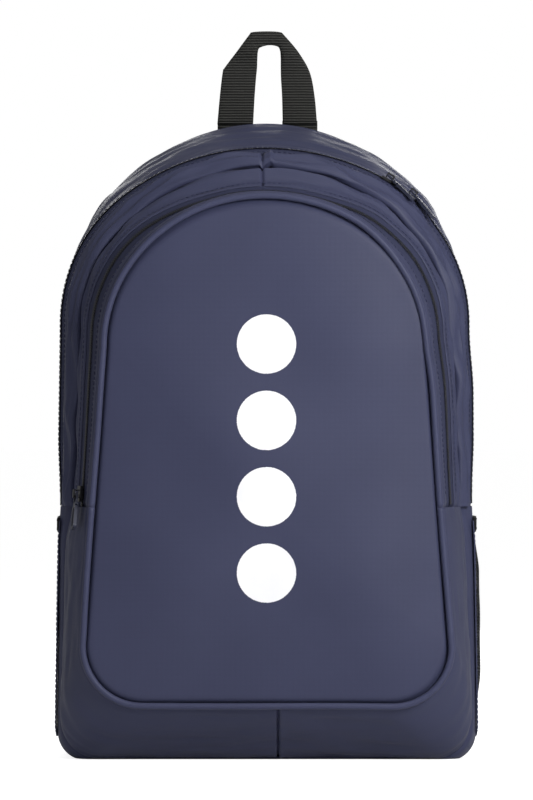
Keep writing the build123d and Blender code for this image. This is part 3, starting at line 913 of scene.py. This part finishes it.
def flat_uv(obj):
    """Takes the piece's x and z as its cloth directions."""
    layer = obj.data.uv_layers.new(name="cloth")
    index = np.zeros(len(obj.data.loops), int)
    obj.data.loops.foreach_get("vertex_index", index)
    layer.data.foreach_set("uv", positions(obj)[:, (0, 2)][index].ravel())


def press_channels(obj, heights, depth, width, behind):
    """Sewn channels across the part of a pad that is behind a depth, at the given heights."""
    co = positions(obj)
    for z in heights:
        near = np.exp(-((co[:, 2] * 1000 - z) / width) ** 2)
        outer = (co[:, 1] * 1000 - behind) > 0
        co[:, 1] -= near * outer * depth * 0.001
    obj.data.vertices.foreach_set("co", co.ravel())


def make_back_pads():
    """Two air-mesh pads, each with five sewn channels."""
    right = soft_copy("back_pad_right_foam", "back_pad_right", voxel=3.5, cap=6.0)
    press_channels(right, (120, 172, 224, 276, 328), 2.6, 2.6, 79.0)
    flat_uv(right)
    left = mirror(right, "back_pad_left_foam")
    for piece, side in ((right, "right"), (left, "left")):
        place(piece, "bag", "back_mesh", BACK_MESH, [f"back_pad_{side}"])


def strap_bow(shift, count=60):
    """Points down one line of the right-hand strap: an arc through three places, as x and z."""
    a = np.array((38 + shift, STRAP_TOP))
    b = np.array((73 + shift, 262.0))
    c = np.array((78 + shift * 0.85, 142.0))
    m = np.array([b - a, c - b])
    centre = np.linalg.solve(m, np.array([(b @ b - a @ a) / 2, (c @ c - b @ b) / 2]))
    start = math.atan2(*(a - centre)[::-1])
    end = math.atan2(*(c - centre)[::-1])
    radius = np.linalg.norm(a - centre)
    t = np.linspace(start, end, count)
    points = centre + radius * np.stack([np.cos(t), np.sin(t)], 1)
    return points[points[:, 1] <= STRAP_TOP]


def strap_pieces():
    """The right-hand strap, piece by piece: its pad, edge binding and four lengths of webbing."""
    pad = soft_copy("shoulder_pad_right_foam", "shoulder_pad_right", voxel=3.0, cap=4.5)
    flat_uv(pad)
    line = at_depth(np.vstack([strap_bow(STRAP_HALF), strap_bow(-STRAP_HALF)[::-1]]), 91.0)
    deep = facing(line, 0, 1, 0)
    out = np.cross(unit(np.gradient(line, axis=0)), deep)
    binding = sweep("strap_binding_right_band", line, deep, out, 5.0, 1.0)
    top = at_depth(strap_bow(0.0), STRAP_Y)[::6]
    top[:, 1] += 1.2 * np.sin(np.linspace(0, math.pi, len(top)))
    end = [(78.4, 96.4, 139.0), (78.8, 92.6, 135.0)]
    back = [(0, 1, 0)] * len(top) + [(0, 0.9, 0.3), (0, 0.7, 0.7)]
    webbing = ribbon("strap_webbing_right_band", np.vstack([top, end]), back, per=6)
    tail = ribbon("webbing_tail_right_band",
                  [(79, 90, 127), (79.4, 94.5, 121), (80, 96.5, 112), (81, 95.5, 95), (82.4, 93.5, 74),
                   (83.2, 93.6, 54)],
                  [(0, 0.6, 0.8), (0, 0.8, 0.5), (0, 1, 0.1), (0.05, 1, 0), (0.1, 1, 0), (0.05, 1, 0)])
    fold = ribbon("webbing_end_right_band", [(83.0, 95.4, 62), (83.3, 95.6, 52.6)],
                  [(0, 1, 0), (0, 1, 0)], thick=1.9)
    lower = ribbon("lower_webbing_right_band",
                   [(121, 82.6, 24), (113, 84.6, 42), (101, 85.6, 68), (90, 86.6, 95), (82.5, 88.6, 117),
                    (80.5, 89.6, 123)],
                   [(0, 1, -0.1), (0, 1, -0.1), (0, 1, 0), (0, 1, 0), (0, 1, 0.2), (0, 0.8, 0.5)])
    return pad, binding, webbing, tail, fold, lower


def make_straps():
    """Both shoulder straps. The lower webbing, between the bag and the strap, belongs to no body."""
    pad, binding, webbing, tail, fold, lower = strap_pieces()
    slots = [(pad, "navy_fabric", NAVY, "shoulder_pad"),
             (binding, "binding", BINDING, None),
             (webbing, "webbing", BLACK_WEBBING, "strap_webbing"),
             (tail, "webbing", BLACK_WEBBING, "webbing_tail"),
             (fold, "webbing", BLACK_WEBBING, None),
             (lower, "webbing", BLACK_WEBBING, "lower_webbing")]
    for right, slot, material, node in slots:
        left = mirror(right, right.name.replace("_right", "_left"))
        for piece, side in ((right, "right"), (left, "left")):
            free = right is lower
            nodes = [f"{node}_{side}"] if node else []
            place(piece, None if free else f"strap_{side}", slot, material, nodes)
            if free:
                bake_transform(piece)
    for k, shift in enumerate((10.6, -10.6)):
        line = at_depth(strap_bow(shift, 80), STRAP_Y + 1)
        line[:, 1] += 1.2 * np.sin(np.linspace(0, math.pi, len(line)))
        row = stitches(f"strap_stitch_{k}_right", line[:-3], facing(line[:-3], 0, 1, 0))
        place(row, "strap_right", "webbing", BLACK_THREAD)
        place(mirror(row, f"strap_stitch_{k}_left"), "strap_left", "webbing", BLACK_THREAD)


def rounded_slab(name, corners, y_low, y_high, bevel):
    """A thin patch with soft edges from its corners in x and z."""
    n = len(corners)
    verts = [(x, y_low, z) for x, z in corners] + [(x, y_high, z) for x, z in corners]
    faces = [tuple(range(n)), tuple(range(2 * n - 1, n - 1, -1))]
    faces += [(i, i + n, (i + 1) % n + n, (i + 1) % n) for i in range(n)]
    obj = mesh(name, verts, faces)
    work = bmesh.new()
    work.from_mesh(obj.data)
    bmesh.ops.recalc_face_normals(work, faces=work.faces)
    upright = [e for e in work.edges if abs((e.verts[0].co - e.verts[1].co).y) > 1e-5]
    bmesh.ops.bevel(work, geom=upright, offset=0.004, segments=4, affect="EDGES", profile=0.5)
    flat = [e for e in work.edges if abs((e.verts[0].co - e.verts[1].co).y) < 1e-6]
    bmesh.ops.bevel(work, geom=flat, offset=bevel * 0.0006, segments=3, affect="EDGES", profile=0.5)
    work.to_mesh(obj.data)
    work.free()
    flat_uv(obj)
    return obj


def closed_row(name, corners, y, inset):
    """A stitch row round a patch, inside its corners."""
    c = np.array(corners, float)
    inner = c + unit(c.mean(0) - c) * inset * 1.4
    line = at_depth(np.vstack([inner, inner[:1]]), y)
    return stitches(name, line, facing(line, 0, 1, 0))


def make_back_trim():
    """The yoke patch, the grab loop's sewn ends with their cross stitches, and the lower corner tabs."""
    corners = [(-75, 386), (75, 386), (75, 410), (56, 428), (-56, 428), (-75, 410)]
    yoke = rounded_slab("yoke_cloth", corners, 76.6, 79.4, 1.6)
    place(yoke, "bag", "navy_fabric", NAVY, ["yoke_patch"])
    place(closed_row("yoke_stitch", corners, 79.5, 3.0), "bag", "navy_fabric", THREAD)
    for side, x in (("left", -22.3), ("right", 23.7)):
        run = [(x, 80.2, 402), (x, 80.3, 420), (x, 80.0, 436), (x, 79.0, 448.5)]
        band = ribbon(f"loop_end_{side}_band", run, [(0, 1, 0)] * len(run))
        place(band, "bag", "webbing", BLACK_WEBBING, [f"loop_end_{side}"])
        box = [(x - 9.5, 406), (x + 9.5, 406), (x + 9.5, 425), (x - 9.5, 425)]
        line = at_depth(np.array(box + [box[0], box[2], box[1], box[3]]), 81.2)
        row = stitches(f"loop_cross_stitch_{side}", line, facing(line, 0, 1, 0), spacing=2.8, length=2.0)
        place(row, "bag", "webbing", BLACK_THREAD)
    corners = [(144, 7), (144, 60), (112, 44), (104, 22)]
    tab = rounded_slab("corner_tab_right_cloth", corners, 77.0, 83.6, 2.4)
    row = closed_row("corner_tab_stitch_right", corners, 83.8, 4.0)
    for piece, side in ((tab, "right"), (mirror(tab, "corner_tab_left_cloth"), "left")):
        place(piece, "bag", "navy_fabric", NAVY, [f"corner_tab_{side}"])
    place(row, "bag", "navy_fabric", THREAD)
    place(mirror(row, "corner_tab_stitch_left"), "bag", "navy_fabric", THREAD)


def make_grab_loop():
    """The handle: two straight flat legs whose outer corners fold in to a narrow, thick grip."""
    outer = smooth([(-35, 446), (-33.2, 466), (-31.2, 483), (-29.6, 486.5), (-21, 498), (-12.5, 509.5),
                    (-10, 511.6), (0, 512.2), (9.5, 511.6), (13, 509), (23, 497), (30.8, 483), (34.2, 466),
                    (36, 446)], 7)
    inner = smooth([(-9.5, 446), (-8.4, 466), (-7.3, 480), (-6.7, 486), (-6.4, 494), (-6, 498), (-4.6, 500.6),
                    (1.8, 502.3), (7.6, 501.4), (9.4, 499), (10, 494), (10.2, 480), (11, 466),
                    (11.5, 446)], 7)
    middle = (outer + inner) / 2
    side = at_depth(outer - inner, 0)
    half_width = np.linalg.norm(side, axis=1) / 2
    side = unit(side)
    folded = ease((13 - half_width) / 7)
    centres = np.stack([middle[:, 0], 78.4 + 1.0 * folded, middle[:, 1]], 1)
    thick = 1.0 + 4.2 * folded ** 2
    loop = sweep("grab_loop_band", centres, side, facing(centres, 0, -1, 0), half_width, thick, corners=20)
    loop.data.uv_layers.remove(loop.data.uv_layers[0])
    flat_uv(loop)
    place(loop, "grab_loop", "webbing", BLACK_WEBBING, ["grab_loop"])


def make_inside():
    """The laptop sleeve and its bound edge."""
    across = np.linspace(-1, 1, 40)
    heights = np.linspace(6, 292, 60)
    verts = [(x * 117.5, 62 + 1.2 * noise.noise(Vector((x * 2, z / 60.0, 5.0))) * (1 - abs(x)), z)
             for z in heights for x in across]
    sleeve = mesh("laptop_sleeve_cloth", verts, grid_faces(len(heights), len(across)),
                  [(v[0] * 0.001, v[2] * 0.001) for v in verts])
    solidify(sleeve, 4.0, 0.0)
    as_sheet(place(sleeve, "bag", "lining", LINING, ["laptop_sleeve"]))
    line = np.array([(x, 62.0, 295.0) for x in np.linspace(-118, 118, 60)])
    band = sweep("sleeve_binding_band", line, facing(line, 0, 0, 1), facing(line, 0, 1, 0), 5.0, 2.6)
    place(band, "bag", "binding", BINDING, ["sleeve_binding"])


def finish_cad_nodes():
    """Rigid pieces keep their CAD shape, with softened edges and their own finish."""
    finishes = {"slider": SLIDER, "pull": PULL, "lock": BUCKLE, "board": BOARD}
    for name, obj in NODES.items():
        kind = next((k for k in finishes if k in name), None)
        if kind is None:
            continue
        obj.data.materials.clear()
        obj.data.materials.append(finishes[kind])
        soften = obj.modifiers.new("soft_edges", "BEVEL")
        soften.width = 0.0006 if kind == "board" else 0.00028
        soften.segments = 3
        soften.limit_method = "ANGLE"
        soften.angle_limit = math.radians(35)
        soften.harden_normals = True
        obj.data.polygons.foreach_set("use_smooth", [True] * len(obj.data.polygons))


# ---------------------------------------------------------------- studio

def backdrop(tree, shader, socket, as_light, to_camera):
    """Lets a white surface look brighter to the camera than the light it throws on the bag."""
    seen = tree.nodes.new("ShaderNodeLightPath")
    gain = tree.nodes.new("ShaderNodeMath")
    gain.operation = "MULTIPLY_ADD"
    gain.inputs[1].default_value = to_camera - as_light
    gain.inputs[2].default_value = as_light
    tree.links.new(seen.outputs["Is Camera Ray"], gain.inputs[0])
    tree.links.new(gain.outputs[0], tree.nodes[shader].inputs[socket])


def make_studio():
    """A white surround with a pale floor, a key light at the right, softer lights around, and the camera."""
    scene = bpy.context.scene
    scene.view_settings.view_transform = "Standard"
    world = bpy.data.worlds.new("studio")
    scene.world = world
    world.use_nodes = True
    world.node_tree.nodes["Background"].inputs["Color"].default_value = (1, 1, 1, 1)
    backdrop(world.node_tree, "Background", "Strength", 0.24, 1.0)
    sheet = bpy.data.meshes.new("floor")
    sheet.from_pydata([(-30, -30, 0), (30, -30, 0), (30, 30, 0), (-30, 30, 0)], [], [(0, 1, 2, 3)])
    floor = add("floor", sheet)
    paper = bpy.data.materials.new("floor_paper")
    paper.use_nodes = True
    surface = paper.node_tree.nodes["Principled BSDF"].inputs
    surface["Base Color"].default_value = (0.8, 0.8, 0.8, 1)
    surface["Roughness"].default_value = 0.9
    surface["Emission Color"].default_value = (1, 1, 1, 1)
    backdrop(paper.node_tree, "Principled BSDF", "Emission Strength", 0.0, 0.8)
    floor.data.materials.append(paper)
    lamps = [("key", (0.7, -1.1, 0.75), 0.5, 16.5), ("fill", (-1.6, -2.4, 1.0), 1.6, 2.0),
             ("overhead", (0.1, -0.6, 1.9), 0.9, 6.0), ("rear_right", (0.5, 2.5, 0.9), 1.0, 15.0),
             ("rear_left", (-0.6, 2.5, 0.9), 1.0, 15.0)]
    for name, where, size, power in lamps:
        light = bpy.data.lights.new(name, "AREA")
        light.size = size
        light.energy = power
        lamp = add(name, light)
        lamp.visible_camera = False
        lamp.location = where
        lamp.rotation_euler = (Vector((0, 0, 0.24)) - Vector(where)).to_track_quat("-Z", "Y").to_euler()
    camera = bpy.data.cameras.new("camera")
    camera.clip_end = 100.0
    camera.lens = 321.4
    rig = add("camera", camera)
    rig.location = (0.0, -5.0, 0.2500)
    rig.rotation_euler = (math.radians(90), 0, 0)
    scene.camera = rig


make_studio()
make_shell()
make_panels()
make_zips()
make_seams()
make_pockets()
make_back_pads()
make_straps()
make_back_trim()
make_grab_loop()
make_inside()
finish_cad_nodes()

bpy.context.view_layer.update()
